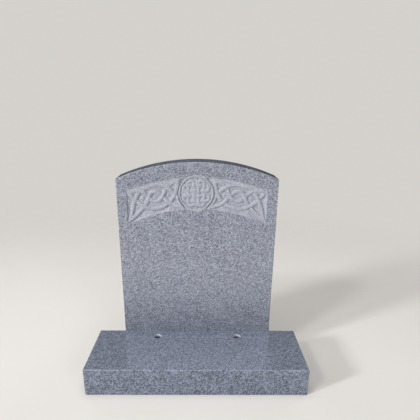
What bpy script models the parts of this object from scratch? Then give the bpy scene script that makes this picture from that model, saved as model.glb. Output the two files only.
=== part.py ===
"""Arched granite headstone with a carved knotwork band, and the flat base slab in front of it.

Metres, Z up. The carved face looks along -Y, both pieces stand on Z = 0, and the origin is the
middle of the ground that they cover together.
"""

import math

import bmesh
import bpy
from mathutils import Vector
from mathutils.geometry import delaunay_2d_cdt
from mathutils.geometry import intersect_line_line_2d

# Base slab
BASE_WIDTH = 0.762
BASE_DEPTH = 0.254
BASE_HEIGHT = 0.102
BASE_ARRIS = 0.003

# Two blind holes in the top of the base
HOLE_DIAMETER = 0.029
HOLE_DEPTH = 0.060
HOLE_SPACING = 0.305
HOLE_SETBACK = 0.043
HOLE_SIDES = 32

# Headstone
STONE_WIDTH = 0.566
STONE_THICKNESS = 0.102
STONE_HEIGHT = 0.756
ARCH_RISE = 0.058
STONE_ARRIS = 0.002
ARCH_SEGMENTS = 40
JOINT_GAP = 0.0003

# Sunk band across the face, concentric with the arched top
BAND_WIDTH = 0.490
BAND_HEIGHT = 0.113
BAND_MARGIN = 0.051
BAND_SEGMENTS = 40
CARVING_DEPTH = 0.006

# Cords of the knotwork
CORD_WIDTH = 0.013
CROSSING_GROOVE = 0.0015
TIP_LENGTH = 0.013
TIP_STEPS = 10
CORD_STEPS = 14

# Medallion: an outer groove, a raised ring and a field with woven loops
MEDALLION_RADIUS = 0.065
MEDALLION_SHIFT = -0.004
MEDALLION_SIDES = 64
RING_GROOVE = 0.0035
RING_WIDTH = 0.006
LOOP_CORD = 0.011
LOOP_SLOT = 0.009
LOOP_SPACE = 0.005
LOOP_CLEARANCE = 0.0015
LOOP_END_STEPS = 10

# Finishes
STONE_COLOUR = (0.27, 0.28, 0.32)
STONE_ROUGHNESS = 0.35
BASE_COLOUR = (0.24, 0.25, 0.29)
BASE_ROUGHNESS = 0.2

# Points on the face closer than this are one point
SAME_POINT = 1e-7

# Values that follow from the sizes above
TOTAL_DEPTH = BASE_DEPTH + JOINT_GAP + STONE_THICKNESS
BASE_FRONT = -TOTAL_DEPTH / 2
BASE_BACK = BASE_FRONT + BASE_DEPTH
STONE_FRONT = BASE_BACK + JOINT_GAP
STONE_BACK = STONE_FRONT + STONE_THICKNESS
ARCH_RADIUS = ((STONE_WIDTH / 2) ** 2 + ARCH_RISE**2) / (2 * ARCH_RISE)
ARCH_CENTRE = STONE_HEIGHT - ARCH_RADIUS
BAND_TOP = ARCH_RADIUS - BAND_MARGIN
BAND_BOTTOM = BAND_TOP - BAND_HEIGHT
MEDALLION_CENTRE = Vector((MEDALLION_SHIFT, ARCH_CENTRE + (BAND_TOP + BAND_BOTTOM) / 2))
RING_OUTER = MEDALLION_RADIUS - RING_GROOVE
RING_INNER = RING_OUTER - RING_WIDTH

# How far the gap beside an upper cord runs each way from a crossing
GAP_REACH = 1.1 * CORD_WIDTH

# Each half of the band holds four cords. A cord leaves one corner, passes over its crown and
# ends in the other corner on the same edge. Corners and crowns are shares of the half band:
# along from the side wall to the medallion, and across from the lower edge to the upper edge.
LOW_CORNERS = ((0.044, 0.105), (1.078, 0.083))
HIGH_CORNERS = ((0.049, 0.930), (1.005, 0.930))

# leave: the angles in degrees at which a cord leaves its outer and its inner corner
# reach: how far it keeps to them, as shares of the band's height
# sweep: the flat stretch on each side of its crown, as shares of the half band's length
CORDS = {
    "outer_arch": {
        "corners": LOW_CORNERS,
        "crown": (0.51, 0.90),
        "leave": (69, 70),
        "reach": (0.50, 0.49),
        "sweep": (0.37, 0.28),
    },
    "inner_arch": {
        "corners": LOW_CORNERS,
        "crown": (0.54, 0.71),
        "leave": (17, 14),
        "reach": (0.83, 0.60),
        "sweep": (0.18, 0.15),
    },
    "inner_bow": {
        "corners": HIGH_CORNERS,
        "crown": (0.59, 0.40),
        "leave": (-3, -10),
        "reach": (0.65, 0.55),
        "sweep": (0.19, 0.18),
    },
    "outer_bow": {
        "corners": HIGH_CORNERS,
        "crown": (0.61, 0.17),
        "leave": (-64, -87),
        "reach": (0.30, 0.68),
        "sweep": (0.27, 0.12),
    },
}

# Near the side wall the first cord of each pair passes over the second. Near the medallion
# the same two cords meet again the other way round, so each cord goes over and under in turn.
OVER_NEAR_WALL = (
    ("outer_arch", "outer_bow"),
    ("inner_bow", "outer_arch"),
    ("inner_arch", "inner_bow"),
    ("outer_bow", "inner_arch"),
)


def clear_scene():
    """Remove every object that the file opened with."""
    for item in list(bpy.data.objects):
        bpy.data.objects.remove(item, do_unlink=True)


def granite(name, colour, roughness):
    """One stone finish as a Principled material."""
    material = bpy.data.materials.new(name)
    material.use_nodes = True
    shader = material.node_tree.nodes["Principled BSDF"]
    shader.inputs["Base Color"].default_value = (*colour, 1.0)
    shader.inputs["Roughness"].default_value = roughness
    shader.inputs["Metallic"].default_value = 0.0
    return material


def add_object(name, mesh_builder, material=None):
    """Turn a finished bmesh into a named object."""
    mesh = bpy.data.meshes.new(name)
    mesh_builder.to_mesh(mesh)
    mesh_builder.free()
    item = bpy.data.objects.new(name, mesh)
    if material:
        mesh.materials.append(material)
    bpy.context.scene.collection.objects.link(item)
    return item


def arched_outline(inset):
    """The headstone's outline seen from the front, counter-clockwise, drawn in by an inset."""
    half = STONE_WIDTH / 2 - inset
    radius = ARCH_RADIUS - inset
    reach = math.asin(half / radius)
    points = [Vector((-half, inset)), Vector((half, inset))]
    for step in range(ARCH_SEGMENTS + 1):
        angle = reach - 2 * reach * step / ARCH_SEGMENTS
        points.append(Vector((radius * math.sin(angle), ARCH_CENTRE + radius * math.cos(angle))))
    return points


def circle(centre, radius, sides):
    """A regular polygon about a centre, counter-clockwise."""
    points = []
    for step in range(sides):
        angle = 2 * math.pi * step / sides
        points.append(centre + radius * Vector((math.cos(angle), math.sin(angle))))
    return points


def band_point(side, along, across):
    """A place in one half of the band, from lengths along it and across it."""
    x = BAND_WIDTH / 2 - along
    radius = BAND_BOTTOM + across
    return Vector((side * x, ARCH_CENTRE + math.sqrt(radius**2 - x**2)))


def band_outline():
    """The outline of the whole band: two concentric arcs between upright side walls."""
    points = []
    for radius, direction in ((BAND_BOTTOM, 1), (BAND_TOP, -1)):
        for step in range(BAND_SEGMENTS + 1):
            x = direction * (step / BAND_SEGMENTS - 0.5) * BAND_WIDTH
            points.append(Vector((x, ARCH_CENTRE + math.sqrt(radius**2 - x**2))))
    return points


def half_length(side):
    """The length of one half of the band, from the side wall to the medallion's edge."""
    return BAND_WIDTH / 2 - MEDALLION_RADIUS - side * MEDALLION_SHIFT


def bezier(controls, steps):
    """Points along a cubic Bezier curve, both ends included."""
    points = []
    for step in range(steps + 1):
        t = step / steps
        weights = ((1 - t) ** 3, 3 * (1 - t) ** 2 * t, 3 * (1 - t) * t**2, t**3)
        points.append(sum((w * c for w, c in zip(weights, controls)), Vector((0, 0))))
    return points


def cord_path(cord, side):
    """The centre line of one cord on the face, from its outer to its inner corner."""
    length = half_length(side)
    size = Vector((length, BAND_HEIGHT))
    ends = [Vector(corner) * size for corner in cord["corners"]]
    crown = Vector(cord["crown"]) * size
    handles = []
    for inward, angle, reach in zip((1, -1), cord["leave"], cord["reach"]):
        turn = math.radians(angle)
        handles.append(reach * BAND_HEIGHT * Vector((inward * math.cos(turn), math.sin(turn))))
    before, after = [Vector((share * length, 0)) for share in cord["sweep"]]
    rise = bezier((ends[0], ends[0] + handles[0], crown - before, crown), CORD_STEPS)
    fall = bezier((crown, crown + after, ends[1] + handles[1], ends[1]), CORD_STEPS)
    return [band_point(side, *point) for point in rise + fall[1:]]


def ribbon(path, half_width):
    """The outline of an even strip about a centre line."""
    left = []
    right = []
    last = len(path) - 1
    for index, point in enumerate(path):
        run = path[min(index + 1, last)] - path[max(index - 1, 0)]
        normal = Vector((-run.y, run.x)).normalized()
        left.append(point + half_width * normal)
        right.append(point - half_width * normal)
    return right + left[::-1]


def pointed_tip(corner, first_next, second_next):
    """The drop shape that closes two cords into a point where they share a corner."""
    outward = -((first_next - corner).normalized() + (second_next - corner).normalized())
    heading = math.atan2(outward.y, outward.x)
    radius = CORD_WIDTH / 2
    touch = math.acos(radius / TIP_LENGTH)
    points = [corner + TIP_LENGTH * outward.normalized()]
    for step in range(TIP_STEPS + 1):
        angle = heading + touch + (2 * math.pi - 2 * touch) * step / TIP_STEPS
        points.append(corner + radius * Vector((math.cos(angle), math.sin(angle))))
    return points


def meeting_points(first, second):
    """Where two centre lines cross, with the index of the step on the first one."""
    found = []
    for i in range(1, len(first) - 2):
        for j in range(1, len(second) - 2):
            point = intersect_line_line_2d(first[i], first[i + 1], second[j], second[j + 1])
            if point is not None:
                found.append((i, point))
    return found


def stretch(path, index, point, reach):
    """The part of a centre line within a reach of one point on it."""
    before = [point]
    for step in range(index, -1, -1):
        before.append(path[step])
        if (path[step] - point).length > reach:
            break
    after = []
    for step in range(index + 1, len(path)):
        after.append(path[step])
        if (path[step] - point).length > reach:
            break
    return before[:0:-1] + after


class Drawing:
    """Closed outlines on the face of the stone, and what is raised between them."""

    def __init__(self):
        self.points = []
        self.outlines = []

    def add(self, points):
        """Keep one closed outline and return its number."""
        first = len(self.points)
        self.points.extend(points)
        self.outlines.append(list(range(first, len(self.points))))
        return len(self.outlines) - 1


def draw_knots(drawing, side):
    """Draw the four cords of one half. Each raised shape comes with the gaps that cut it."""
    raised = []
    paths = {name: cord_path(cord, side) for name, cord in CORDS.items()}
    gaps = {name: [] for name in CORDS}
    for wall_over, wall_under in OVER_NEAR_WALL:
        crossings = meeting_points(paths[wall_over], paths[wall_under])
        crossings.sort(key=lambda found: -abs(found[1].x))
        for place, (index, point) in enumerate(crossings):
            over, under = (wall_over, wall_under) if place == 0 else (wall_under, wall_over)
            if place > 0:
                index = min(range(len(paths[over])), key=lambda i: (paths[over][i] - point).length)
            piece = stretch(paths[over], index, point, GAP_REACH)
            gaps[under].append(drawing.add(ribbon(piece, CORD_WIDTH / 2 + CROSSING_GROOVE)))
    for name, path in paths.items():
        raised.append((drawing.add(ribbon(path, CORD_WIDTH / 2)), gaps[name]))
    for first, second in (("outer_arch", "inner_arch"), ("inner_bow", "outer_bow")):
        for end, inner in ((0, 1), (-1, -2)):
            tip = pointed_tip(paths[first][end], paths[first][inner], paths[second][inner])
            raised.append((drawing.add(tip), []))
    return raised


def loop_outline(offset, end, radius, upright):
    """A long loop beside the medallion's centre, as one rounded outline."""
    points = []
    for sign, start in ((1, 0.0), (-1, math.pi)):
        for step in range(LOOP_END_STEPS + 1):
            angle = start + math.pi * step / LOOP_END_STEPS
            points.append(
                Vector((offset + radius * math.cos(angle), sign * end + radius * math.sin(angle)))
            )
    if not upright:
        points = [Vector((-point.y, point.x)) for point in points]
    return [MEDALLION_CENTRE + point for point in points]


def draw_loops(drawing):
    """Draw two upright and two level loops, woven over and under each other."""
    pitch = LOOP_CORD + LOOP_SLOT
    middle = (LOOP_SPACE + LOOP_CORD + pitch) / 2
    outer = (pitch + LOOP_CORD) / 2
    end = math.sqrt((RING_INNER - LOOP_CLEARANCE - outer) ** 2 - middle**2)
    lines = [sign * (middle + shift) for sign in (-1, 1) for shift in (-pitch / 2, pitch / 2)]
    lines.sort()
    gaps = {True: [], False: []}
    for column, x in enumerate(lines):
        for row, z in enumerate(lines):
            upright_over = (column + row) % 2 == 0
            wide = LOOP_CORD / 2 + CROSSING_GROOVE
            tall = (LOOP_CORD + CROSSING_GROOVE) / 2
            half = Vector((wide, tall)) if upright_over else Vector((tall, wide))
            middle_point = MEDALLION_CENTRE + Vector((x, z))
            corners = []
            for sign_x, sign_z in ((-1, -1), (1, -1), (1, 1), (-1, 1)):
                corners.append(middle_point + half * Vector((sign_x, sign_z)))
            gaps[not upright_over].append(drawing.add(corners))
    raised = []
    for upright in (True, False):
        for sign in (-1, 1):
            body = drawing.add(loop_outline(sign * middle, end, outer, upright))
            slot = drawing.add(loop_outline(sign * middle, end, LOOP_SLOT / 2, upright))
            raised.append((body, gaps[upright] + [slot]))
    return raised


def covered(shapes, inside):
    """True where a raised shape covers a patch and none of its own gaps does."""
    for body, gaps in shapes:
        if body in inside and not any(gap in inside for gap in gaps):
            return True
    return False


def carved_face():
    """Split the front face into patches and say which of them are cut back to the floor."""
    drawing = Drawing()
    drawing.add(arched_outline(STONE_ARRIS))
    band = drawing.add(band_outline())
    disc = drawing.add(circle(MEDALLION_CENTRE, MEDALLION_RADIUS, MEDALLION_SIDES))
    ring = drawing.add(circle(MEDALLION_CENTRE, RING_OUTER, MEDALLION_SIDES))
    field = drawing.add(circle(MEDALLION_CENTRE, RING_INNER, MEDALLION_SIDES))
    knots = draw_knots(drawing, -1) + draw_knots(drawing, 1)
    loops = draw_loops(drawing)
    points, _, patches, sources, _, memberships = delaunay_2d_cdt(
        drawing.points, [], drawing.outlines, 1, SAME_POINT, True
    )
    sunk = []
    for inside in memberships:
        if field in inside:
            sunk.append(not covered(loops, inside))
        elif ring in inside:
            sunk.append(False)
        elif disc in inside:
            sunk.append(True)
        else:
            sunk.append(band in inside and not covered(knots, inside))
    return points, patches, sunk, sources


def build_headstone():
    """The arched slab as one closed body, with the carving in its front face."""
    builder = bmesh.new()
    points, patches, sunk, sources = carved_face()
    levels = {}

    def corner(index, deep):
        """The vertex of one point on the face, or on the floor of the carving."""
        key = (index, deep)
        if key not in levels:
            y = STONE_FRONT + (CARVING_DEPTH if deep else 0.0)
            levels[key] = builder.verts.new((points[index].x, y, points[index].y))
        return levels[key]

    uses = {}
    for patch, deep in zip(patches, sunk):
        builder.faces.new([corner(index, deep) for index in patch])
        for start, stop in zip(patch, patch[1:] + patch[:1]):
            uses[(start, stop)] = deep
    for (start, stop), deep in uses.items():
        if deep and uses.get((stop, start)) is False:
            wall = (corner(stop, True), corner(start, True), corner(start, False), corner(stop, False))
            builder.faces.new(wall)

    rim = arched_outline(STONE_ARRIS)
    edge = arched_outline(0.0)
    found = {}
    for index, origins in enumerate(sources):
        for origin in origins:
            if origin < len(rim):
                found[origin] = index
    loops = [[corner(found[place], False) for place in range(len(rim))]]
    for outline, y in (
        (edge, STONE_FRONT + STONE_ARRIS),
        (edge, STONE_BACK - STONE_ARRIS),
        (rim, STONE_BACK),
    ):
        loops.append([builder.verts.new((point.x, y, point.y)) for point in outline])
    for near, far in zip(loops, loops[1:]):
        for place in range(len(rim)):
            following = (place + 1) % len(rim)
            builder.faces.new((near[place], far[place], far[following], near[following]))
    builder.faces.new(loops[-1][::-1])
    bmesh.ops.recalc_face_normals(builder, faces=builder.faces)
    material = granite("headstone granite", STONE_COLOUR, STONE_ROUGHNESS)
    return add_object("headstone", builder, material)


def build_base():
    """The flat slab, with an arris along its edges and two blind holes."""
    builder = bmesh.new()
    bmesh.ops.create_cube(builder, size=1.0)
    bmesh.ops.scale(builder, vec=(BASE_WIDTH, BASE_DEPTH, BASE_HEIGHT), verts=builder.verts)
    bmesh.ops.bevel(
        builder,
        geom=builder.edges,
        offset=BASE_ARRIS,
        offset_type="OFFSET",
        segments=1,
        affect="EDGES",
    )
    base = add_object("base", builder, granite("base granite", BASE_COLOUR, BASE_ROUGHNESS))
    base.location = (0.0, (BASE_FRONT + BASE_BACK) / 2, BASE_HEIGHT / 2)
    for side, name in ((-1, "left"), (1, "right")):
        drill = bmesh.new()
        bmesh.ops.create_cone(
            drill,
            cap_ends=True,
            segments=HOLE_SIDES,
            radius1=HOLE_DIAMETER / 2,
            radius2=HOLE_DIAMETER / 2,
            depth=2 * HOLE_DEPTH,
        )
        cutter = add_object(name + "_hole_cutter", drill)
        cutter.location = (side * HOLE_SPACING / 2, BASE_BACK - HOLE_SETBACK, BASE_HEIGHT)
        cutter.hide_render = True
        cutter.display_type = "WIRE"
        cut = base.modifiers.new(name + " hole", "BOOLEAN")
        cut.operation = "DIFFERENCE"
        cut.object = cutter
    return base


clear_scene()
build_headstone()
build_base()
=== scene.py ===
# %% [markdown]
# # An arched granite headstone with a carved band
#
# This lesson dresses two slabs of grey granite: an upright headstone with an arched top, and a
# flat base that lies in front of it. A sunk band of knotwork runs across the headstone, with a
# round medallion in its middle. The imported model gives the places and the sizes. It is loaded
# first and never moved, and every piece below is made in the same metres, with Z up and the
# carved face towards -Y.

import math

import bmesh
import bpy
import numpy as np
from mathutils import Matrix, Vector
from mathutils.geometry import delaunay_2d_cdt
from mathutils.geometry import intersect_line_line_2d


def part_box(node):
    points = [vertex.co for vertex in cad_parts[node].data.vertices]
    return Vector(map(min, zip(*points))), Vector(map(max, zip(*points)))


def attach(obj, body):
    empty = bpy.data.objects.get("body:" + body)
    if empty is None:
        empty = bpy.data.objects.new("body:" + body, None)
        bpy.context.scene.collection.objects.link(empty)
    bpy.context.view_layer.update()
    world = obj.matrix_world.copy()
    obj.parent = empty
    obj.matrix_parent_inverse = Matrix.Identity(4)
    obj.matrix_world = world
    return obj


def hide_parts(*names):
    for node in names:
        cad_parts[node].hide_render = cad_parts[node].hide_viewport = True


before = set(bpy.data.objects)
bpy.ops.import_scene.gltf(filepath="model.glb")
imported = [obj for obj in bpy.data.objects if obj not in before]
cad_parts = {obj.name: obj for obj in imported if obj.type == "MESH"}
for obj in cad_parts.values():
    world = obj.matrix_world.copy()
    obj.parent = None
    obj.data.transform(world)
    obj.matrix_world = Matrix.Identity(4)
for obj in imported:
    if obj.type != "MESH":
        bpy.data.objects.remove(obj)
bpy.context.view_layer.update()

# %% [markdown]
# ## Sizes
#
# The outer sizes of both slabs are read from the frame, so they can't drift away from it. What
# the frame's box can't tell, such as the rise of the arch or the depth of the carving, is named
# here once. All other sizes follow from these two sets. The band and its medallion sit a little
# to the left of the middle, as they do on a stone that is marked out by hand.

# %% Name the sizes
stone_low, stone_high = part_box("headstone")
base_low, base_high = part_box("base")

STONE_FRONT = stone_low[1]
STONE_BACK = stone_high[1]
STONE_WIDTH = stone_high[0] - stone_low[0]
STONE_HEIGHT = stone_high[2]
ARCH_RISE = 0.058
STONE_ARRIS = 0.002
ARCH_SEGMENTS = 96

BAND_WIDTH = 0.494
BAND_SHIFT = -0.001
BAND_HEIGHT = 0.113
BAND_MARGIN = 0.051
CARVING_DEPTH = 0.006
MEDALLION_RADIUS = 0.065
MEDALLION_SHIFT = -0.004

ARCH_RADIUS = ((STONE_WIDTH / 2) ** 2 + ARCH_RISE**2) / (2 * ARCH_RISE)
ARCH_CENTRE = STONE_HEIGHT - ARCH_RADIUS
BAND_TOP = ARCH_RADIUS - BAND_MARGIN
BAND_BOTTOM = BAND_TOP - BAND_HEIGHT
MEDALLION_HEIGHT = ARCH_CENTRE + (BAND_TOP + BAND_BOTTOM) / 2
MEDALLION_CENTRE = np.array((MEDALLION_SHIFT, MEDALLION_HEIGHT))
print(f"arch radius {ARCH_RADIUS:.4f} m, band between radii {BAND_BOTTOM:.4f} and {BAND_TOP:.4f} m")

# %% [markdown]
# ## The centre lines of the knotwork
#
# A mason draws the centre lines of a knot first and gives them width later, and the same order
# works here. Each half of the band has four cords. A cord leaves one corner, passes over its
# crown and ends in the other corner of the same edge. Two Bezier curves that meet at the crown
# are enough for that. Painting the pattern by hand or drawing it with many points would also
# work, but a few named shares are easier to read and to change.

# %% Describe the cords
LOW_CORNERS = ((0.044, 0.105), (1.078, 0.083))
HIGH_CORNERS = ((0.049, 0.930), (1.005, 0.930))
CORD_STEPS = 24

# Corners and crowns are shares of the half band: along from the side wall to the medallion, and
# across from the lower edge to the upper edge. leave gives the angles in degrees at the two
# corners, reach how far a cord keeps to them, and sweep the flat stretches beside its crown.
CORDS = {
    "outer arch": {
        "corners": LOW_CORNERS,
        "crown": (0.51, 0.90),
        "leave": (69, 70),
        "reach": (0.50, 0.49),
        "sweep": (0.37, 0.28),
    },
    "inner arch": {
        "corners": LOW_CORNERS,
        "crown": (0.54, 0.71),
        "leave": (17, 14),
        "reach": (0.83, 0.60),
        "sweep": (0.18, 0.15),
    },
    "inner bow": {
        "corners": HIGH_CORNERS,
        "crown": (0.59, 0.40),
        "leave": (-3, -10),
        "reach": (0.65, 0.55),
        "sweep": (0.19, 0.18),
    },
    "outer bow": {
        "corners": HIGH_CORNERS,
        "crown": (0.61, 0.17),
        "leave": (-64, -87),
        "reach": (0.30, 0.68),
        "sweep": (0.27, 0.12),
    },
}

# %% Turn a cord into points on the face


def bezier(controls, steps):
    """Points along a cubic Bezier curve, both ends included."""
    a, b, c, d = [np.asarray(point, dtype=float) for point in controls]
    t = np.linspace(0, 1, steps + 1)[:, None]
    return (1 - t) ** 3 * a + 3 * (1 - t) ** 2 * t * b + 3 * (1 - t) * t**2 * c + t**3 * d


def cord_path(cord, side):
    """The centre line of one cord as x and z on the face, from its outer to its inner corner."""
    end = BAND_WIDTH / 2 + side * BAND_SHIFT
    length = end - MEDALLION_RADIUS - side * MEDALLION_SHIFT
    size = np.array((length, BAND_HEIGHT))
    start, stop = [size * corner for corner in cord["corners"]]
    crown = size * cord["crown"]
    handles = []
    for inward, angle, reach in zip((1, -1), cord["leave"], cord["reach"]):
        turn = math.radians(angle)
        arm = reach * BAND_HEIGHT * np.array((inward * math.cos(turn), math.sin(turn)))
        handles.append(arm)
    before, after = [np.array((share * length, 0)) for share in cord["sweep"]]
    rise = bezier((start, start + handles[0], crown - before, crown), CORD_STEPS)
    fall = bezier((crown, crown + after, stop + handles[1], stop), CORD_STEPS)
    along, across = np.vstack((rise, fall[1:])).T
    x = end - along
    z = ARCH_CENTRE + np.sqrt((BAND_BOTTOM + across) ** 2 - x**2)
    return np.stack((side * x, z), axis=1)


paths = {side: {name: cord_path(cord, side) for name, cord in CORDS.items()} for side in (-1, 1)}
print("cords in each half:", ", ".join(CORDS))

# %% [markdown]
# ## Over and under
#
# The knot only reads as woven if every cord goes over and under in turn. The pairs below say
# which cord is on top near the side wall. The same two cords meet again near the medallion the
# other way round. The cell finds those meetings and notes, for each cord, how far along its
# line it has to dive.

# %% Find where each cord dives
OVER_NEAR_WALL = (
    ("outer arch", "outer bow"),
    ("inner bow", "outer arch"),
    ("inner arch", "inner bow"),
    ("outer bow", "inner arch"),
)


def meetings(first, second):
    """Where two centre lines cross."""
    found = []
    for i in range(1, len(first) - 2):
        for j in range(1, len(second) - 2):
            point = intersect_line_line_2d(first[i], first[i + 1], second[j], second[j + 1])
            if point is not None:
                found.append(np.array(point))
    return sorted(found, key=lambda place: -abs(place[0]))


def nearest_on(path, places):
    """The distance from each place to a line, and how far along the line its nearest point is."""
    distance = np.full(len(places), np.inf)
    along = np.zeros(len(places))
    walked = 0.0
    for start, stop in zip(path[:-1], path[1:]):
        run = stop - start
        length = float(np.hypot(*run))
        share = np.clip((places - start) @ run / length**2, 0, 1)
        away = np.hypot(*(places - start - share[:, None] * run).T)
        closer = away < distance
        distance[closer] = away[closer]
        along[closer] = walked + share[closer] * length
        walked += length
    return distance, along


dives = {side: {name: [] for name in CORDS} for side in (-1, 1)}
for side in (-1, 1):
    for over, under in OVER_NEAR_WALL:
        for turn, place in enumerate(meetings(paths[side][over], paths[side][under])):
            lower = under if turn == 0 else over
            along = nearest_on(paths[side][lower], place[None, :])[1][0]
            dives[side][lower].append(float(along))
print("dives in the right half:", {name: len(places) for name, places in dives[1].items()})

# %% [markdown]
# ## A grid for the carved field
#
# The carving is a relief: every place on the face has one depth. Such a shape can be sculpted,
# or pushed out with a displacement map, but a plain grid of points with a computed depth keeps
# every edge where it is measured. The rows of this grid follow the arch and its columns are
# upright, so the borders of the sunk band fall exactly on grid lines and stay straight.

# %% Lay out the grid
GRID_STEP = 0.001
FIELD_RIM_COLUMNS = 3
FIELD_RIM_ROWS = 10

column_count = round(BAND_WIDTH / GRID_STEP) + 2 * FIELD_RIM_COLUMNS
row_count = round(BAND_HEIGHT / GRID_STEP) + 2 * FIELD_RIM_ROWS
columns = BAND_SHIFT + (np.arange(column_count + 1) - column_count / 2) * GRID_STEP
radii = BAND_BOTTOM + (np.arange(row_count + 1) - FIELD_RIM_ROWS) * GRID_STEP
grid_x, grid_radius = np.meshgrid(columns, radii)
grid_z = ARCH_CENTRE + np.sqrt(grid_radius**2 - grid_x**2)
places = np.stack((grid_x.ravel(), grid_z.ravel()), axis=1)
print(f"grid of {column_count} by {row_count} cells")

# %% [markdown]
# ## The height of the cords
#
# A real cord is cut with rounded shoulders: its back is nearly flat and its sides fall steeply
# to the floor. Where it goes under another cord it sinks, and rises again on the far side. Both
# follow from the distance to the centre line. The highest cord wins at each place, which gives
# the crease along every crossing. Two cords that share a corner run out in one tapered point.

# %% Raise the knotwork
CORD_FOOT = 0.0075
CORD_ROUNDNESS = 4.0
DIVE_DEPTH = 0.95
DIVE_LENGTH = 0.009
TIP_LENGTH = 0.013
TIP_FOOT = 0.001


def cord_back(distance, foot):
    """The height of a cord's back as a share: 1 over its centre line and 0 beyond its foot."""
    return 1 - np.clip(distance / foot, 0, 1) ** CORD_ROUNDNESS


def cord_height(distance, along, dive_places):
    """The height that one cord gives to every place of the grid."""
    level = np.ones(len(places))
    for dive in dive_places:
        level -= DIVE_DEPTH * np.exp(-(((along - dive) / DIVE_LENGTH) ** 2))
    return cord_back(distance, CORD_FOOT) * np.clip(level, 0, 1)


def tip_height(corner, first_next, second_next):
    """The height of the tapered point where two cords end in one corner."""
    outward = np.zeros(2)
    for following in (first_next, second_next):
        outward -= (following - corner) / np.hypot(*(following - corner))
    outward /= np.hypot(*outward)
    share = np.clip((places - corner) @ outward / TIP_LENGTH, 0, 1)
    distance = np.hypot(*(places - corner - share[:, None] * TIP_LENGTH * outward).T)
    return cord_back(distance, CORD_FOOT + (TIP_FOOT - CORD_FOOT) * share)


knot_height = np.zeros(len(places))
to_cord = np.full(len(places), np.inf)
for side in (-1, 1):
    for name, path in paths[side].items():
        distance, along = nearest_on(path, places)
        to_cord = np.minimum(to_cord, distance)
        knot_height = np.maximum(knot_height, cord_height(distance, along, dives[side][name]))
    for first, second in (("outer arch", "inner arch"), ("inner bow", "outer bow")):
        for end, inner in ((0, 1), (-1, -2)):
            pair = paths[side][first], paths[side][second]
            tip = tip_height(pair[0][end], pair[0][inner], pair[1][inner])
            knot_height = np.maximum(knot_height, tip)
print(f"share of the grid under a cord: {np.mean(knot_height > 0):.2f}")

# %% [markdown]
# ## The medallion
#
# The medallion is a raised ring between two grooves. The outer groove runs out above and below,
# where the ring stands clear of the band. Inside the ring lie two upright and two level loops,
# woven like a chair seat and cut less deep than the band. A loop is a strip of even width around
# a straight slot, so its height needs only the distance to that slot's line. A narrow upright
# cut runs down the middle, over everything inside the ring. The loops could also be swept along
# curves and joined to the face, but heights on the same grid need no joining.

# %% Name the medallion's sizes
RING_GROOVE = 0.0035
RING_WIDTH = 0.006
RING_FOOT_SHARE = 0.6
GROOVE_HALF_LENGTH = 0.045
GROOVE_RUN_OUT = 0.010
LOOP_CORD = 0.011
LOOP_SLOT = 0.009
LOOP_SPACE = 0.005
LOOP_CLEARANCE = 0.0015
LOOP_FOOT = 0.0065
LOOP_DIVE_LENGTH = 0.0075
MIDDLE_STRIP = 0.0055
MIDDLE_STRIP_HEIGHT = 0.85
MIDDLE_CUT_WIDTH = 0.0045
MIDDLE_CUT_SHARE = 0.55
WEAVE_DEPTH_SHARE = 0.7

ring_outer = MEDALLION_RADIUS - RING_GROOVE
ring_inner = ring_outer - RING_WIDTH
loop_pitch = LOOP_CORD + LOOP_SLOT
loop_middle = (LOOP_SPACE + LOOP_CORD + loop_pitch) / 2
loop_outer = (loop_pitch + LOOP_CORD) / 2
loop_end = math.sqrt((ring_inner - LOOP_CLEARANCE - loop_outer) ** 2 - loop_middle**2)
loop_lines = [sign * loop_middle + shift * loop_pitch for sign in (-1, 1) for shift in (-0.5, 0.5)]

print(f"ring between {1000 * ring_inner:.1f} and {1000 * ring_outer:.1f} mm from its centre")

# %% Raise the ring
from_centre = places - MEDALLION_CENTRE
medallion_distance = np.hypot(*from_centre.T)
ring_middle = (ring_outer + ring_inner) / 2
ring_foot = RING_WIDTH * RING_FOOT_SHARE
ring_height = cord_back(abs(medallion_distance - ring_middle), ring_foot)
groove_end = (abs(from_centre[:, 1]) - GROOVE_HALF_LENGTH) / GROOVE_RUN_OUT
outside_ring = medallion_distance > ring_middle
groove_filled = np.where(outside_ring, np.clip(groove_end, 0, 1), 0)
ring_height = np.maximum(ring_height, groove_filled)
print(f"share of the grid that the ring raises: {np.mean(ring_height > 0):.3f}")

# %% Weave the loops


def loops_height(upright):
    """The height of the two upright or the two level loops."""
    sideways, lengthways = from_centre.T if upright else from_centre.T[::-1]
    height = np.zeros(len(places))
    past_end = np.clip(abs(lengthways) - loop_end, 0, None)
    for sign in (-1, 1):
        around = np.hypot(sideways - sign * loop_middle, past_end)
        height = np.maximum(height, cord_back(abs(around - loop_pitch / 2), LOOP_FOOT))
    level = np.ones(len(places))
    for column, own_line in enumerate(loop_lines):
        for row, other_line in enumerate(loop_lines):
            upright_over = (column + row) % 2 == 0
            if upright_over != upright:
                near_line = abs(sideways - own_line) < loop_pitch / 2
                dive = np.exp(-(((lengthways - other_line) / LOOP_DIVE_LENGTH) ** 2))
                level -= DIVE_DEPTH * dive * near_line
    return height * np.clip(level, 0, 1)


woven = np.maximum(loops_height(True), loops_height(False))
middle_strip = cord_back(abs(from_centre[:, 0]), MIDDLE_STRIP) * MIDDLE_STRIP_HEIGHT
woven = np.maximum(woven, middle_strip * (medallion_distance < ring_inner))
middle_cut = np.clip(1 - abs(from_centre[:, 0]) / (MIDDLE_CUT_WIDTH / 2), 0, 1)
woven *= 1 - MIDDLE_CUT_SHARE * middle_cut
woven = np.where(medallion_distance < ring_inner, 1 - WEAVE_DEPTH_SHARE * (1 - woven), woven)
medallion_height = np.maximum(ring_height, woven)
print(f"loops end {1000 * (ring_inner - LOOP_CLEARANCE):.1f} mm from the medallion's centre")

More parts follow.
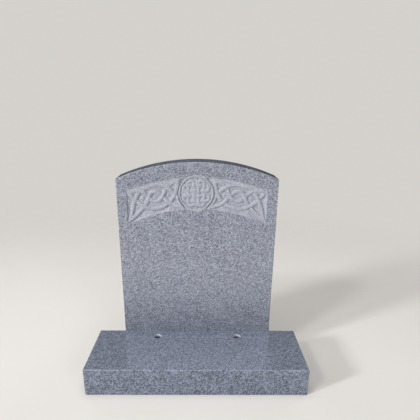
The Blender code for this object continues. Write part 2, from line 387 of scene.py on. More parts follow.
# %% [markdown]
# ## From heights to depths
#
# The band is sunk below the honed face behind a sloped border, and the cords stand up from its
# floor. Their backs stay a little below the face, because the whole band is blasted with grit
# after carving. A mason cuts deepest close beside a cord, where the shadow has to fall, and lets
# the floor rise in the open places. A shallow ledge is left under the upper border, and a narrow
# groove follows the left one. One flat floor would be simpler, but it puts dark lines along the
# borders that this stone doesn't have. Blasting leaves the floor uneven, so a small seeded
# ripple is added.

# %% Name the depths and the slopes
CORD_SINK = 0.0006
SHALLOW_SHARE = 0.25
MOAT_LENGTH = 0.010
LEFT_MOAT = 0.0050
TOP_LEDGE = 0.010
TOP_LEDGE_RUN = 0.018
RUN_ACROSS = 0.0045
RUN_LEFT = 0.0015
RUN_RIGHT = 0.0050
RUN_DISC = 0.0035
FLOOR_RIPPLE = 0.00035
RIPPLE_SEED = 7

from_bottom = (grid_radius - BAND_BOTTOM).ravel()
from_top = (BAND_TOP - grid_radius).ravel()
from_left = (BAND_WIDTH / 2 - BAND_SHIFT + grid_x).ravel()
from_right = (BAND_WIDTH / 2 + BAND_SHIFT - grid_x).ravel()
print(f"border slopes run over {1000 * RUN_LEFT} to {1000 * RUN_RIGHT} mm")

# %% Slope the borders
border_runs = (
    from_bottom / RUN_ACROSS,
    from_top / RUN_ACROSS,
    from_left / RUN_LEFT,
    from_right / RUN_RIGHT,
)
band_sunk = np.minimum.reduce(border_runs)
in_band = band_sunk > GRID_STEP / 2 / RUN_ACROSS
in_disc = medallion_distance < MEDALLION_RADIUS
disc_sunk = (MEDALLION_RADIUS - medallion_distance) / RUN_DISC
sunk = np.clip(np.maximum(band_sunk, disc_sunk), 0, 1)
print(f"share of the grid that is sunk: {np.mean(sunk > 0):.2f}")

# %% Shape the floor between the cords


def from_shallow(share):
    """The floor's depth as a share: shallow where the given share is 0, and full where it is 1."""
    return SHALLOW_SHARE + (1 - SHALLOW_SHARE) * share


past_foot = np.clip(to_cord - CORD_FOOT, 0, None)
floor_share = from_shallow(np.exp(-((past_foot / MOAT_LENGTH) ** 2)))
floor_share = np.maximum(floor_share, np.exp(-((from_left / LEFT_MOAT) ** 2)))
past_ledge = np.clip((from_top - TOP_LEDGE) / TOP_LEDGE_RUN, 0, 1)
floor_share = np.minimum(floor_share, from_shallow(past_ledge))
near_disc = np.clip((medallion_distance - MEDALLION_RADIUS) / MOAT_LENGTH, 0, 1)
sunk *= 1 + (floor_share - 1) * near_disc
print(f"floor between {floor_share.min():.2f} and {floor_share.max():.2f} of its full depth")

# %% Compute the depth of every place
height = np.where(in_disc, medallion_height, knot_height)
ripple = np.random.default_rng(RIPPLE_SEED).uniform(-1, 1, len(places)) * FLOOR_RIPPLE
depth = sunk * (CARVING_DEPTH - (CARVING_DEPTH - CORD_SINK) * height)
depth += (in_band | in_disc) * (1 - height) * np.minimum(ripple, 0)
print(f"depths from {1000 * depth.min():.2f} to {1000 * depth.max():.2f} mm")

# %% [markdown]
# ## The headstone as one closed body
#
# The grid is only a window in the front face. Around it, a constrained triangulation fills the
# flat stone up to the rim, and rounded loops carry the outline over the narrow arrises to the
# back. A Boolean cut would give the same body, but it is slow with this many faces and leaves
# long slivers beside the carving.

# %% Draw the outline of the arched slab


def arched_outline(inset):
    """The headstone's outline seen from the front, counter-clockwise, drawn in by an inset."""
    half = STONE_WIDTH / 2 - inset
    radius = ARCH_RADIUS - inset
    reach = math.asin(half / radius)
    outline = [Vector((-half, inset)), Vector((half, inset))]
    for step in range(ARCH_SEGMENTS + 1):
        angle = reach - 2 * reach * step / ARCH_SEGMENTS
        x, z = radius * math.sin(angle), radius * math.cos(angle)
        outline.append(Vector((x, ARCH_CENTRE + z)))
    return outline


rim = arched_outline(STONE_ARRIS)
print(f"outline of {len(rim)} points")

# %% Fill the flat stone around the carving
INSIDE_LOOPS = 1
SAME_POINT = 1e-7


def window_border():
    """The numbers of the grid's outermost points, counter-clockwise from the front."""
    wide = column_count + 1
    bottom = list(range(column_count))
    right = [row * wide + column_count for row in range(row_count)]
    top = [row_count * wide + column for column in range(column_count, 0, -1)]
    left = [row * wide for row in range(row_count, 0, -1)]
    return bottom + right + top + left


def flat_surround(vertices):
    """Triangles between the rim and the window. New vertices for the rim are appended."""
    border = window_border()
    points = [Vector(places[number]) for number in border] + rim
    loops = [list(range(len(border))), list(range(len(border), len(points)))]
    filled = delaunay_2d_cdt(points, [], loops, INSIDE_LOOPS, SAME_POINT, True)
    _, _, triangles, sources, _, inside = filled
    first = len(vertices)
    vertices.extend((point.x, STONE_FRONT, point.y) for point in rim)
    numbers = border + list(range(first, first + len(rim)))
    faces = []
    for triangle, loops_around in zip(triangles, inside):
        if 0 not in loops_around:
            faces.append([numbers[sources[corner][0]] for corner in triangle])
    return faces, list(range(first, first + len(rim)))


# %% Round the arrises
ARRIS_STEPS = 3


def arris_profile():
    """How far each loop is drawn in, and its place along Y, from the face to the back."""
    turns = [math.pi / 2 * step / ARRIS_STEPS for step in range(1, ARRIS_STEPS + 1)]
    front = [(STONE_ARRIS * (1 - math.sin(a)), STONE_ARRIS * (1 - math.cos(a))) for a in turns]
    loops = [(inset, STONE_FRONT + way) for inset, way in front]
    loops += [(inset, STONE_BACK - way) for inset, way in reversed(front)]
    return loops + [(STONE_ARRIS, STONE_BACK)]


print("loops from the face to the back:", len(arris_profile()))

# %% Join the headstone's faces
vertices = [(x, STONE_FRONT + y, z) for (x, z), y in zip(places.tolist(), depth.tolist())]
faces = []
for row in range(row_count):
    for column in range(column_count):
        corner = row * (column_count + 1) + column
        above = corner + column_count + 1
        faces.append([corner, corner + 1, above + 1, above])
relief_count = len(faces)
surround, near = flat_surround(vertices)
faces += surround
flat_count = len(vertices)
loop_insets = [inset for inset, y in arris_profile()]
for inset, y in arris_profile():
    first = len(vertices)
    vertices.extend((point.x, y, point.y) for point in arched_outline(inset))
    far = list(range(first, first + len(rim)))
    for place in range(len(rim)):
        following = (place + 1) % len(rim)
        faces.append([near[place], far[place], far[following], near[following]])
    near = far
faces.append(near[::-1])
print(f"headstone: {len(vertices)} points and {len(faces)} faces")

# %% [markdown]
# ## Masks for the finishes
#
# Three finishes meet on this slab: the blasted band, the honed face and the polished edge that
# runs around the sides and over the arch. The narrow arrises between them are a little worn. A
# material can only follow that if the mesh tells it where it is, so each point carries one number
# for each finish, and the shader reads it by its name. Painting masks by hand would be less exact.

# %% Make the headstone's object and its masks
ARRIS_END = 0.01

mesh = bpy.data.meshes.new("headstone")
mesh.from_pydata(vertices, [], faces)
mesh.validate()
headstone = bpy.data.objects.new("headstone_slab", mesh)
bpy.context.scene.collection.objects.link(headstone)


def store_mask(owner, name, values):
    """Keep one number per point under a name that a shader can read."""
    layer = owner.data.attributes.new(name, "FLOAT", "POINT")
    layer.data.foreach_set("value", np.asarray(values, dtype=np.float32))
    print(f"{owner.name}, {name}: {int(np.count_nonzero(values))} points")


blasted = np.zeros(len(vertices))
blasted[: len(places)] = depth > 0
drawn_in = np.repeat(loop_insets, len(rim)) / STONE_ARRIS
on_arris = (drawn_in > ARRIS_END) & (drawn_in < 1 - ARRIS_END)
polished = np.append(np.zeros(flat_count), drawn_in < ARRIS_END)
worn = np.append(np.zeros(flat_count), on_arris)
store_mask(headstone, "blasted", blasted)
store_mask(headstone, "polished", polished)
store_mask(headstone, "worn", worn)

# %% Shade the relief smooth and the flats flat
SOFT_ANGLE = math.radians(50)
SQUARE_LIMIT = 0.02
FLAT_LIMIT = 0.999

mesh.set_sharp_from_angle(angle=SOFT_ANGLE)
smooth = np.zeros(len(mesh.polygons), dtype=bool)
smooth[:relief_count] = True
for number, face in enumerate(mesh.polygons):
    if number >= relief_count and SQUARE_LIMIT < abs(face.normal.y) < FLAT_LIMIT:
        smooth[number] = True
mesh.polygons.foreach_set("use_smooth", smooth)
print(f"smooth faces: {int(smooth.sum())} of {len(mesh.polygons)}")

# %% [markdown]
# ## The base slab
#
# The base is a sawn slab with narrow rounded arrises, and two dowel holes with a lightly broken
# rim. A box with a bevel gives the slab. Each hole is turned as a solid of revolution and taken
# away with a Boolean, because the rim, the wall and the drill's cone are one profile. Holes
# could be modelled into the top face by hand, but then their size would be hard to change.

# %% Make the slab
BASE_ARRIS = 0.003
BASE_ARRIS_STEPS = 4
ROUND_PROFILE = 0.5


def add_piece(name, builder):
    """Turn a finished bmesh into a linked object."""
    piece_mesh = bpy.data.meshes.new(name)
    builder.to_mesh(piece_mesh)
    builder.free()
    piece = bpy.data.objects.new(name, piece_mesh)
    bpy.context.scene.collection.objects.link(piece)
    return piece


builder = bmesh.new()
base_size = Vector(base_high) - Vector(base_low)
base_middle = (Vector(base_high) + Vector(base_low)) / 2
bmesh.ops.create_cube(builder, size=1.0)
bmesh.ops.scale(builder, vec=base_size, verts=builder.verts)
bmesh.ops.bevel(
    builder,
    geom=builder.edges,
    offset=BASE_ARRIS,
    offset_type="OFFSET",
    segments=BASE_ARRIS_STEPS,
    profile=ROUND_PROFILE,
    affect="EDGES",
)
bmesh.ops.translate(builder, vec=base_middle, verts=builder.verts)
base = add_piece("base_slab", builder)
print("base slab in mm:", [round(1000 * v, 1) for v in base_size])

# %% Drill the two holes
HOLE_RADIUS = 0.0145
HOLE_DEPTH = 0.060
HOLE_SPACING = 0.305
HOLE_SETBACK = 0.043
HOLE_RIM = 0.0008
HOLE_SIDES = 64
DRILL_STANDOFF = 0.002
DRILL_POINT = 0.0035
WELD_DISTANCE = 1e-6


def turned(profile, sides):
    """A closed solid of revolution about Z from (radius, height) pairs, lowest first."""
    solid = bmesh.new()
    line = [solid.verts.new((radius, 0, height)) for radius, height in profile]
    edges = [solid.edges.new(pair) for pair in zip(line, line[1:])]
    bmesh.ops.spin(
        solid, geom=line + edges, angle=2 * math.pi, steps=sides, axis=(0, 0, 1), use_merge=True
    )
    bmesh.ops.remove_doubles(solid, verts=solid.verts, dist=WELD_DISTANCE)
    bmesh.ops.recalc_face_normals(solid, faces=solid.faces)
    return solid


drill_profile = (
    (0.0, -HOLE_DEPTH),
    (HOLE_RADIUS, DRILL_POINT - HOLE_DEPTH),
    (HOLE_RADIUS, -HOLE_RIM),
    (HOLE_RADIUS + HOLE_RIM + DRILL_STANDOFF, DRILL_STANDOFF),
    (0.0, DRILL_STANDOFF),
)
drills = []
for side in (-1, 1):
    drill = add_piece("drill", turned(drill_profile, HOLE_SIDES))
    drill.location = (side * HOLE_SPACING / 2, base_high[1] - HOLE_SETBACK, base_high[2])
    cut = base.modifiers.new("hole", "BOOLEAN")
    cut.operation = "DIFFERENCE"
    cut.solver = "EXACT"
    cut.object = drill
    drills.append(drill)
evaluated = base.evaluated_get(bpy.context.evaluated_depsgraph_get())
drilled_mesh = bpy.data.meshes.new_from_object(evaluated)
base.modifiers.clear()
base.data = drilled_mesh
for drill in drills:
    bpy.data.objects.remove(drill, do_unlink=True)
print(f"base slab after drilling: {len(base.data.polygons)} faces")

# %% Shade the slab
base.data.set_sharp_from_angle(angle=SOFT_ANGLE)
for face in base.data.polygons:
    face.use_smooth = max(abs(part) for part in face.normal) < FLAT_LIMIT
print("smooth faces on the base:", sum(face.use_smooth for face in base.data.polygons))

# %% Mark the worn arrises, the drilled walls and the top
HAIR = 0.00002

points = np.array([vertex.co for vertex in base.data.vertices])
to_faces = np.array(base_size) / 2 - abs(points - np.array(base_middle))
worn = np.sum(to_faces < BASE_ARRIS - HAIR, axis=1) >= 2
beside_hole = abs(points[:, 0]) - HOLE_SPACING / 2
behind_hole = points[:, 1] - base_high[1] + HOLE_SETBACK
in_hole = np.hypot(beside_hole, behind_hole) < HOLE_RADIUS + HAIR
below_top = points[:, 2] < base_high[2] - HAIR
store_mask(base, "worn", worn)
store_mask(base, "drilled", in_hole & below_top)
store_mask(base, "top", ~below_top)

# %% [markdown]
# ## Granite as a node group
#
# Granite is a tight mosaic of pale feldspar, grey quartz and dark mica, with crystals two to
# three millimetres wide. A cell texture gives each crystal one random number, a ramp turns that
# number into one of the three minerals, and noise at a larger scale gathers them into the faint
# clouds that show from a few steps away. Both slabs are the same stone, so the mosaic is one
# group that both materials use. A photograph of granite would repeat and would hold one light
# for ever, and the mosaic does neither.

# %% Helpers for nodes


def add_node(tree, kind, settings=None, inputs=None):
    """Add one node with its settings, and set or link its inputs."""
    made = tree.nodes.new(kind)
    for name, value in (settings or {}).items():
        setattr(made, name, value)
    for name, value in (inputs or {}).items():
        if isinstance(value, bpy.types.NodeSocket):
            tree.links.new(value, made.inputs[name])
        else:
            made.inputs[name].default_value = value
    return made


def maths(tree, operation, first, second=0.0):
    """The output of one Math node."""
    made = add_node(tree, "ShaderNodeMath", {"operation": operation}, {0: first, 1: second})
    return made.outputs[0]


def mix_colours(tree, share, first, second, blend="MIX"):
    """The output of one Mix node for colours."""
    settings = {"data_type": "RGBA", "blend_type": blend}
    return add_node(tree, "ShaderNodeMix", settings, {0: share, 6: first, 7: second}).outputs[2]


def mix_values(tree, share, first, second):
    """The output of one Mix node for plain numbers."""
    settings = {"data_type": "FLOAT"}
    return add_node(tree, "ShaderNodeMix", settings, {0: share, 2: first, 3: second}).outputs[0]


def climb(tree, value, start, end, kind="SMOOTHSTEP"):
    """A share that climbs from 0 where the value is at start to 1 where it is at end."""
    inputs = {"Value": value, "From Min": start, "From Max": end}
    return add_node(tree, "ShaderNodeMapRange", {"interpolation_type": kind}, inputs).outputs[0]


def noise(tree, place, scale, detail=2.0):
    """One Noise node."""
    inputs = {"Vector": place, "Scale": scale, "Detail": detail}
    return add_node(tree, "ShaderNodeTexNoise", inputs=inputs)


def own_place(tree):
    """The output that gives each place on a piece in metres."""
    return add_node(tree, "ShaderNodeTexCoord").outputs["Object"]


# %% A helper for groups


def new_group(name, inputs, outputs):
    """A group from its inputs' first values and its outputs' kinds, with the sockets inside."""
    group = bpy.data.node_groups.new(name, "ShaderNodeTree")
    for title, value in inputs.items():
        kind = "NodeSocketColor" if isinstance(value, tuple) else "NodeSocketFloat"
        socket = group.interface.new_socket(title, in_out="INPUT", socket_type=kind)
        socket.default_value = value
    for title, kind in outputs.items():
        group.interface.new_socket(title, in_out="OUTPUT", socket_type=kind)
    given = group.nodes.new("NodeGroupInput").outputs
    result = group.nodes.new("NodeGroupOutput").inputs
    return group, given, result


# %% Build the granite group
FELDSPAR = (0.505, 0.520, 0.592, 1.0)
QUARTZ = (0.236, 0.249, 0.302, 1.0)
MICA = (0.060, 0.064, 0.085, 1.0)
UNTONED = (1.0, 1.0, 1.0, 1.0)
WOBBLE_SCALE = 900.0
WOBBLE_SHARE = 0.7
FLECKS_PER_CRYSTAL = 2.3
CLOUD_SCALE = 70.0
CLOUD_DETAIL = 3.0

granite, given, result = new_group(
    "granite mosaic",
    {"Crystal size": 0.0026, "Contrast": 0.7, "Cloudiness": 0.25, "Tone": UNTONED},
    {"Colour": "NodeSocketColor", "Crystal": "NodeSocketFloat", "Height": "NodeSocketFloat"},
)
position = own_place(granite)
density = maths(granite, "DIVIDE", 1.0, given["Crystal size"])
wobble = noise(granite, position, WOBBLE_SCALE).outputs["Color"]
wobble_reach = maths(granite, "MULTIPLY", given["Crystal size"], WOBBLE_SHARE)
shift = add_node(
    granite, "ShaderNodeVectorMath", {"operation": "SCALE"},
    {"Vector": wobble, "Scale": wobble_reach},
).outputs[0]
wobbled = add_node(
    granite, "ShaderNodeVectorMath", {"operation": "ADD"}, {0: position, 1: shift}
).outputs[0]


def cell_number(scale, channel):
    """One random number for each cell of the mosaic."""
    inputs = {"Vector": wobbled, "Scale": scale}
    cells = add_node(granite, "ShaderNodeTexVoronoi", inputs=inputs).outputs["Color"]
    return add_node(granite, "ShaderNodeSeparateColor", inputs={"Color": cells}).outputs[channel]


crystal = cell_number(density, "Red")
fleck = cell_number(maths(granite, "MULTIPLY", density, FLECKS_PER_CRYSTAL), "Green")
clouds = noise(granite, position, CLOUD_SCALE, CLOUD_DETAIL).outputs["Fac"]
print("granite group: crystals, flecks and clouds are ready")

# %% Turn the numbers into minerals
MIDDLE = 0.5
FLECK_SHARE = 0.35
MINERALS = ((0.10, MICA), (0.24, QUARTZ), (0.52, QUARTZ), (0.90, FELDSPAR))
MINERAL_WEIGHTS = (0.5, 1.5, 1.0)

cloud_shift = maths(granite, "SUBTRACT", clouds, MIDDLE)
cloud_shift = maths(granite, "MULTIPLY", cloud_shift, given["Cloudiness"])
fleck_shift = maths(granite, "SUBTRACT", fleck, MIDDLE)
fleck_shift = maths(granite, "MULTIPLY", fleck_shift, FLECK_SHARE)
mineral = maths(granite, "ADD", crystal, maths(granite, "ADD", cloud_shift, fleck_shift))

ramp = add_node(granite, "ShaderNodeValToRGB", inputs={"Fac": mineral})
stops = ramp.color_ramp.elements
stops.remove(stops[1])
stops[0].position, stops[0].color = MINERALS[0]
for place, colour in MINERALS[1:]:
    stops.new(place).color = colour

mean_colour = np.average((MICA, QUARTZ, FELDSPAR), axis=0, weights=MINERAL_WEIGHTS).tolist()
mosaic = mix_colours(granite, given["Contrast"], mean_colour, ramp.outputs["Color"])
toned = mix_colours(granite, 1.0, mosaic, given["Tone"], "MULTIPLY")
granite.links.new(toned, result["Colour"])
granite.links.new(mineral, result["Crystal"])
granite.links.new(fleck, result["Height"])
print("granite group: colours of the three minerals are linked")

# %% [markdown]
# ## Blasting and wear as node groups
#
# Two effects show on both slabs. Grit that is blown at the carving, or a drill that grinds its
# way down a hole, bruises the crystals: the stone turns paler and matt, and small pits catch the
# light. The narrow arrises take the knocks and the weather, and go pale in broken patches. Each
# effect is one group, and a mask tells it where it applies, so both materials place it with
# their own values. The same nodes typed twice would soon differ by mistake.

# %% Build the blasting group
# This pale also colours the painted reflection line on the base's top.
BLASTED_AND_REFLECTION_PALE = (0.560, 0.575, 0.640, 1.0)
BLASTED_ROUGHNESS = 0.85
PIT_SCALE = 1400.0
PIT_DEPTH = 0.0006
PIT_STRENGTH = 0.6
CRYSTAL_RELIEF = 0.03

blasting, given, result = new_group(
    "blasting",
    {"Colour": QUARTZ, "Roughness": 0.5, "Crystal height": 0.0, "Where": 0.0, "Share": 0.5},
    {"Colour": "NodeSocketColor", "Roughness": "NodeSocketFloat", "Normal": "NodeSocketVector"},
)
bruise = maths(blasting, "MULTIPLY", given["Where"], given["Share"])
pits = noise(blasting, own_place(blasting), PIT_SCALE).outputs["Fac"]
crystals_lie = maths(blasting, "MULTIPLY", given["Crystal height"], CRYSTAL_RELIEF)
height = mix_values(blasting, given["Where"], crystals_lie, pits)
bump = add_node(
    blasting, "ShaderNodeBump",
    inputs={"Height": height, "Strength": PIT_STRENGTH, "Distance": PIT_DEPTH},
)
paler = mix_colours(blasting, bruise, given["Colour"], BLASTED_AND_REFLECTION_PALE)
matter = mix_values(blasting, given["Where"], given["Roughness"], BLASTED_ROUGHNESS)
blasting.links.new(paler, result["Colour"])
blasting.links.new(matter, result["Roughness"])
blasting.links.new(bump.outputs["Normal"], result["Normal"])
print("blasting group:", len(blasting.nodes), "nodes")

# %% Build the wear group
WORN_PALE = (0.50, 0.52, 0.58, 1.0)
CHIP_SCALE = 160.0
CHIPS_FROM = 0.35
CHIPS_FULL = 0.6

wear, given, result = new_group(
    "arris wear", {"Colour": QUARTZ, "Where": 0.0, "Share": 0.5}, {"Colour": "NodeSocketColor"}
)
chips = noise(wear, own_place(wear), CHIP_SCALE).outputs["Fac"]
broken = climb(wear, chips, CHIPS_FROM, CHIPS_FULL, "LINEAR")
chipped = maths(wear, "MULTIPLY", maths(wear, "MULTIPLY", broken, given["Where"]), given["Share"])
wear.links.new(mix_colours(wear, chipped, given["Colour"], WORN_PALE), result["Colour"])
print("wear group:", len(wear.nodes), "nodes")

# %% [markdown]
# ## The headstone's finish
#
# The honed face shows the full contrast of the mosaic with a soft sheen, and the carved band is
# blasted. The edge is polished, which lets less light scatter and so darkens the stone, and it
# mirrors what lies behind where it is seen at a flat angle. Its darker tone also holds painted
# shade on the arch's top. The stone's colour is darker towards its foot, as painted shade where
# it meets the base. The masks mix all of this within one material, as on the stone it is one
# surface. A material for each finish would leave a hard line between them.

# %% Helpers for materials


def new_material(name):
    """A material with its plain Principled shader."""
    made = bpy.data.materials.new(name)
    made.use_nodes = True
    return made, made.node_tree, made.node_tree.nodes["Principled BSDF"]


def mask(tree, name):
    """The output that reads one mask of the mesh."""
    return add_node(tree, "ShaderNodeAttribute", {"attribute_name": name}).outputs["Fac"]


def place_group(tree, group, values):
    """The outputs of a group that is placed in a material with its own values."""
    return add_node(tree, "ShaderNodeGroup", {"node_tree": group}, values).outputs


# %% Mix the headstone's finishes
STONE_CRYSTAL = 0.0023
STONE_CLOUDS = 0.3
HONED_TONE = (0.97, 0.99, 1.00, 1.0)
# The polished edge's darker tone is partly polish and partly painted shade on the arch's top.
POLISHED_AND_SHADED_TONE = (0.70, 0.76, 0.83, 1.0)
HONED_ROUGHNESS = 0.42
POLISHED_ROUGHNESS = 0.07
BLASTED_SHARE = 0.45
PLAIN_IOR = 1.5
POLISHED_IOR = 2.1

stone_material, tree, shader = new_material("headstone granite")
gloss = mask(tree, "polished")
stone_values = {
    "Crystal size": STONE_CRYSTAL,
    "Contrast": 1.0,
    "Cloudiness": STONE_CLOUDS,
    "Tone": mix_colours(tree, gloss, HONED_TONE, POLISHED_AND_SHADED_TONE),
}
stone_grain = place_group(tree, granite, stone_values)
band_values = {
    "Colour": stone_grain["Colour"],
    "Roughness": mix_values(tree, gloss, HONED_ROUGHNESS, POLISHED_ROUGHNESS),
    "Crystal height": stone_grain["Height"],
    "Where": mask(tree, "blasted"),
    "Share": BLASTED_SHARE,
}
blasted_stone = place_group(tree, blasting, band_values)
tree.links.new(blasted_stone["Roughness"], shader.inputs["Roughness"])
tree.links.new(blasted_stone["Normal"], shader.inputs["Normal"])
tree.links.new(mix_values(tree, gloss, PLAIN_IOR, POLISHED_IOR), shader.inputs["IOR"])
print("headstone finish: three finishes are mixed")

# %% Paint shade on the stone's foot and wear the arrises
# Painted shade: the stone's colour darkens towards its foot, where it meets the base.
FOOT_SHADE_RISE = 0.28
FOOT_SHADE_SINK = 0.06
FOOT_SHADE_SHARE = 0.36
FOOT_SHADE_TONE = (0.30, 0.33, 0.42, 1.0)
WORN_SHARE = 0.4

upward = add_node(tree, "ShaderNodeSeparateXYZ", inputs={0: own_place(tree)}).outputs["Z"]
foot = climb(tree, upward, base_high[2] + FOOT_SHADE_RISE, base_high[2] - FOOT_SHADE_SINK)
foot_shade_share = maths(tree, "MULTIPLY", foot, FOOT_SHADE_SHARE)
foot_shaded_stone = mix_colours(tree, foot_shade_share, blasted_stone["Colour"], FOOT_SHADE_TONE, "MULTIPLY")
wear_values = {"Colour": foot_shaded_stone, "Where": mask(tree, "worn"), "Share": WORN_SHARE}
worn_stone = place_group(tree, wear, wear_values)
tree.links.new(worn_stone["Colour"], shader.inputs["Base Color"])
headstone.data.materials.append(stone_material)
print("headstone finish:", len(tree.nodes), "nodes")

# %% [markdown]
# ## The base's finish
#
# Only the top of the base is polished, enough to mirror the headstone behind it as a soft
# lighter patch, and its edges are honed. Polish also evens out the mosaic. The walls of the two
# holes are bruised by the drill, so their rims are pale, and further down they are painted dark
# as painted shade. A faint pale line is painted across the top, in front of the stone and as wide
# as it, as a painted reflection in the polish.

# %% Mix the base's finishes
BASE_CRYSTAL = 0.0033
BASE_CLOUDS = 0.5
BASE_TOP_CONTRAST = 0.7
BASE_EDGE_TONE = (0.60, 0.655, 0.725, 1.0)
BASE_TOP_TONE = (0.71, 0.755, 0.82, 1.0)
CRYSTAL_DULLING = 0.02
WORN_ROUGHNESS = 0.55
DRILLED_SHARE = 0.75

base_material, tree, shader = new_material("base granite")
top_gloss = mask(tree, "top")
worn_edges = mask(tree, "worn")
drill_marks = mask(tree, "drilled")
base_values = {
    "Crystal size": BASE_CRYSTAL,
    "Contrast": mix_values(tree, top_gloss, 1.0, BASE_TOP_CONTRAST),
    "Cloudiness": BASE_CLOUDS,
    "Tone": mix_colours(tree, top_gloss, BASE_EDGE_TONE, BASE_TOP_TONE),
}
base_grain = place_group(tree, granite, base_values)
crystal_polish = mix_values(
    tree, base_grain["Crystal"], POLISHED_ROUGHNESS + CRYSTAL_DULLING, POLISHED_ROUGHNESS
)
honed_or_polished = mix_values(tree, top_gloss, HONED_ROUGHNESS, crystal_polish)
hole_values = {
    "Colour": base_grain["Colour"],
    "Roughness": mix_values(tree, worn_edges, honed_or_polished, WORN_ROUGHNESS),
    "Crystal height": base_grain["Height"],
    "Where": drill_marks,
    "Share": DRILLED_SHARE,
}
drilled_base = place_group(tree, blasting, hole_values)
tree.links.new(drilled_base["Roughness"], shader.inputs["Roughness"])
tree.links.new(drilled_base["Normal"], shader.inputs["Normal"])
tree.links.new(mix_values(tree, top_gloss, PLAIN_IOR, POLISHED_IOR), shader.inputs["IOR"])
print("base finish: polished top, honed edges and drilled walls are mixed")

# %% Paint shade in the holes, paint the reflection line and add the wear
# Painted shade: the holes' walls turn dark below their pale rims.
HOLE_SHADE_FROM = 0.005
HOLE_SHADE_TO = 0.013
HOLE_SHADE_DARK = (0.085, 0.090, 0.105, 1.0)
# Painted reflection: a faint pale line across the base's top, as wide as the stone.
LINE_SETBACK = 0.050
LINE_WIDTH = 0.012
LINE_LENGTH = 0.550
REFLECTION_LINE_SHARE = 0.35
LINE_PATCH_SCALE = 40.0

here = own_place(tree)
across, along, upward = add_node(tree, "ShaderNodeSeparateXYZ", inputs={0: here}).outputs
below_rim = climb(tree, upward, base_high[2] - HOLE_SHADE_FROM, base_high[2] - HOLE_SHADE_TO, "LINEAR")
hole_shade = maths(tree, "MULTIPLY", below_rim, drill_marks)
hole_shaded_base = mix_colours(tree, hole_shade, drilled_base["Colour"], HOLE_SHADE_DARK)

from_line = maths(tree, "ABSOLUTE", maths(tree, "SUBTRACT", along, base_high[1] - LINE_SETBACK))
from_middle = maths(tree, "ABSOLUTE", across)
line_across = climb(tree, from_line, LINE_WIDTH / 2, 0.0)
line_along = maths(tree, "LESS_THAN", from_middle, LINE_LENGTH / 2)
patches = noise(tree, here, LINE_PATCH_SCALE).outputs["Fac"]
reflection_line_share = maths(tree, "MULTIPLY", maths(tree, "MULTIPLY", line_across, line_along), patches)
reflection_line_share = maths(tree, "MULTIPLY", reflection_line_share, REFLECTION_LINE_SHARE)
reflection_lined_base = mix_colours(tree, reflection_line_share, hole_shaded_base, BLASTED_AND_REFLECTION_PALE)
wear_values = {"Colour": reflection_lined_base, "Where": worn_edges, "Share": WORN_SHARE}
worn_base = place_group(tree, wear, wear_values)
tree.links.new(worn_base["Colour"], shader.inputs["Base Color"])
base.data.materials.clear()
base.data.materials.append(base_material)
print("base finish:", len(tree.nodes), "nodes")

# %% [markdown]
# ## Tie the pieces to the frame
#
# Nothing on this memorial moves, so both slabs ride on the one body of the frame. Each stands
# for its own solid, whose part in the frame is hidden.

# %% Ride and replace
for piece, node, slot_name in (
    (headstone, "headstone", "headstone_granite"),
    (base, "base", "base_granite"),
):
    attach(piece, "root")
    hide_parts(node)
print("pieces:", headstone.name, "and", base.name)

# %% [markdown]
# ## The floor
#
# A plain pale floor carries the shadow and throws light back up at the stone. It fades into the
# backdrop with distance, so that no horizon line shows behind the arch. A curved studio
# backdrop would do the same, but a flat disc that turns clear is simpler.

# %% Lay the floor
FLOOR_RADIUS = 7.0
FLOOR_SIDES = 96
FLOOR_FADE = (0.9, 2.8)
FLOOR_COLOUR = (0.82, 0.79, 0.75, 1.0)
FLOOR_ROUGHNESS = 0.9
DUST_COLOUR = (0.6, 0.58, 0.55, 1.0)
DUST_SHARE = 0.04
DUST_SCALE = 30.0

builder = bmesh.new()
bmesh.ops.create_circle(builder, cap_ends=True, segments=FLOOR_SIDES, radius=FLOOR_RADIUS)
floor = add_piece("floor", builder)
floor_material, tree, shader = new_material("pale floor")
floor_place = own_place(tree)
away = add_node(
    tree, "ShaderNodeVectorMath", {"operation": "LENGTH"}, {0: floor_place}
).outputs["Value"]
fade = climb(tree, away, *FLOOR_FADE)
dust = noise(tree, floor_place, DUST_SCALE).outputs["Fac"]
dust_share = maths(tree, "MULTIPLY", dust, DUST_SHARE)
floor_colour = mix_colours(tree, dust_share, FLOOR_COLOUR, DUST_COLOUR)
tree.links.new(floor_colour, shader.inputs["Base Color"])
shader.inputs["Roughness"].default_value = FLOOR_ROUGHNESS
clear = add_node(tree, "ShaderNodeBsdfTransparent")
blend = add_node(
    tree, "ShaderNodeMixShader", inputs={0: fade, 1: shader.outputs[0], 2: clear.outputs[0]}
)
output = tree.nodes["Material Output"]
tree.links.new(blend.outputs[0], output.inputs["Surface"])
floor.data.materials.append(floor_material)
print("floor laid")

# %% [markdown]
# ## Light
#
# Two panels far away on the left light the face, one low and one higher. Low light rakes across
# the carving and gives it small shadows, and from nine metres it is as strong at both ends of
# the stone, which a near lamp wouldn't be. A weak panel on the right opens the shadows. The wide
# dim panels behind and above give the sides, the back and the polished top something even to
# mirror, and a low sheet in front stands for the light that a pale ground throws back. The dim
# sky is brighter in front than behind. What the camera sees past the floor is a plain pale
# backdrop. One image of a studio could light all of this, but panels are easier to move.

# %% Set the sky
BACKDROP = (0.66, 0.64, 0.61, 1.0)
SKY_COLOUR = (1.0, 0.99, 0.98, 1.0)
SKY_FRONT = 0.06
SKY_BEHIND = 0.03
SKY_TURN = (-0.6, 0.4)

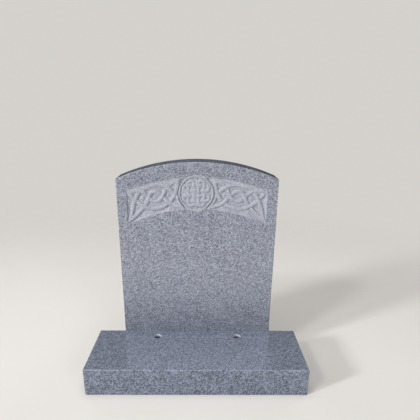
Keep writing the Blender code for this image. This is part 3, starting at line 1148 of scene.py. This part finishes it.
sky = bpy.data.worlds.new("studio")
bpy.context.scene.world = sky
sky.use_nodes = True
tree = sky.node_tree
tree.nodes.clear()
direction = add_node(tree, "ShaderNodeTexCoord").outputs["Generated"]
backward = add_node(tree, "ShaderNodeSeparateXYZ", inputs={0: direction}).outputs["Y"]
strength = mix_values(tree, climb(tree, backward, *SKY_TURN), SKY_FRONT, SKY_BEHIND)
lighting = add_node(
    tree, "ShaderNodeBackground", inputs={"Color": SKY_COLOUR, "Strength": strength}
)
backdrop = add_node(tree, "ShaderNodeBackground", inputs={"Color": BACKDROP, "Strength": 1.0})
seen = add_node(tree, "ShaderNodeLightPath").outputs["Is Camera Ray"]
chosen = add_node(
    tree, "ShaderNodeMixShader", inputs={0: seen, 1: lighting.outputs[0], 2: backdrop.outputs[0]}
)
add_node(tree, "ShaderNodeOutputWorld", inputs={"Surface": chosen.outputs[0]})
print("sky set")

# %% Hang the soft panels


def add_panel(name, place, target, size, power):
    """A rectangular area light that faces a target and stays out of the picture."""
    light = bpy.data.lights.new(name, "AREA")
    light.shape = "RECTANGLE"
    light.size, light.size_y = size
    light.energy = power
    holder = bpy.data.objects.new(name, light)
    holder.location = place
    holder.rotation_euler = (Vector(target) - Vector(place)).to_track_quat("-Z", "Y").to_euler()
    holder.visible_camera = False
    bpy.context.scene.collection.objects.link(holder)
    return holder


# Each panel's azimuth in degrees from the front towards the right, its elevation in degrees,
# its distance and width in metres, and its power in watts.
PANELS = {
    "main panel": (-60, 20, 9.0, 1.1, 520.0),
    "upper panel": (-45, 40, 9.0, 1.1, 180.0),
    "front panel": (30, 20, 4.0, 1.0, 27.0),
    "back panel left": (-135, 25, 5.0, 3.0, 40.0),
    "back panel right": (135, 25, 5.0, 3.0, 40.0),
}
TARGET = Vector((0.0, 0.0, 0.4))

for name, (azimuth, elevation, distance, width, power) in PANELS.items():
    around, up = math.radians(azimuth), math.radians(elevation)
    way = Vector((math.sin(around) * math.cos(up), -math.cos(around) * math.cos(up), math.sin(up)))
    add_panel(name, TARGET + distance * way, TARGET, (width, width), power)
print("soft panels:", ", ".join(PANELS))

# %% Add the high panel and the reflector on the floor
HIGH_PLACE = (0.0, -0.3, 4.2)
HIGH_TARGET = (0.0, 0.0, 0.0)
HIGH_SIZE = (3.0, 3.0)
HIGH_POWER = 76.0
LOW_PLACE = (0.0, -0.78, 0.01)
LOW_TARGET = (0.0, -0.78, 1.0)
LOW_SIZE = (1.8, 0.85)
LOW_POWER = 3.6

add_panel("high panel", HIGH_PLACE, HIGH_TARGET, HIGH_SIZE, HIGH_POWER)
reflector = add_panel("floor reflector", LOW_PLACE, LOW_TARGET, LOW_SIZE, LOW_POWER)
reflector.visible_glossy = False

# %% [markdown]
# ## The camera
#
# The camera stands where the photograph was taken, which follows from the corners of both
# slabs: straight in front, a little higher than the stone, and looking down. The lens keeps the
# verticals' slight taper. The frame is shifted up a little, as the photograph is a crop. A
# camera that is placed by eye would be quicker, but then no edge could be compared.

# %% Place the camera
CAMERA_PLACE = (0.0156, -1.2790, 0.9191)
CAMERA_YAW = 0.535
CAMERA_PITCH = 19.504
CAMERA_ROLL = 0.417
SENSOR_WIDTH = 36.0

# These three are in pixels of the photograph, which is a square.
FRAME_SIZE = 420
FOCAL_PIXELS = 391.6
OPTICAL_AXIS = (205, 250)

camera_data = bpy.data.cameras.new("camera")
camera = bpy.data.objects.new("camera", camera_data)
bpy.context.scene.collection.objects.link(camera)
camera_data.sensor_width = SENSOR_WIDTH
camera_data.lens = FOCAL_PIXELS / FRAME_SIZE * SENSOR_WIDTH
camera_data.shift_x = (FRAME_SIZE / 2 - OPTICAL_AXIS[0]) / FRAME_SIZE
camera_data.shift_y = (OPTICAL_AXIS[1] - FRAME_SIZE / 2) / FRAME_SIZE
turn = Matrix.Rotation(math.radians(-CAMERA_YAW), 4, "Z")
lean = Matrix.Rotation(math.radians(90 - CAMERA_PITCH), 4, "X")
roll = Matrix.Rotation(math.radians(CAMERA_ROLL), 4, "Z")
camera.matrix_world = Matrix.Translation(CAMERA_PLACE) @ turn @ lean @ roll
bpy.context.scene.camera = camera
bpy.context.scene.view_settings.view_transform = "Standard"
print(f"lens {camera_data.lens:.2f} mm, shift {camera_data.shift_x:.4f}, {camera_data.shift_y:.4f}")
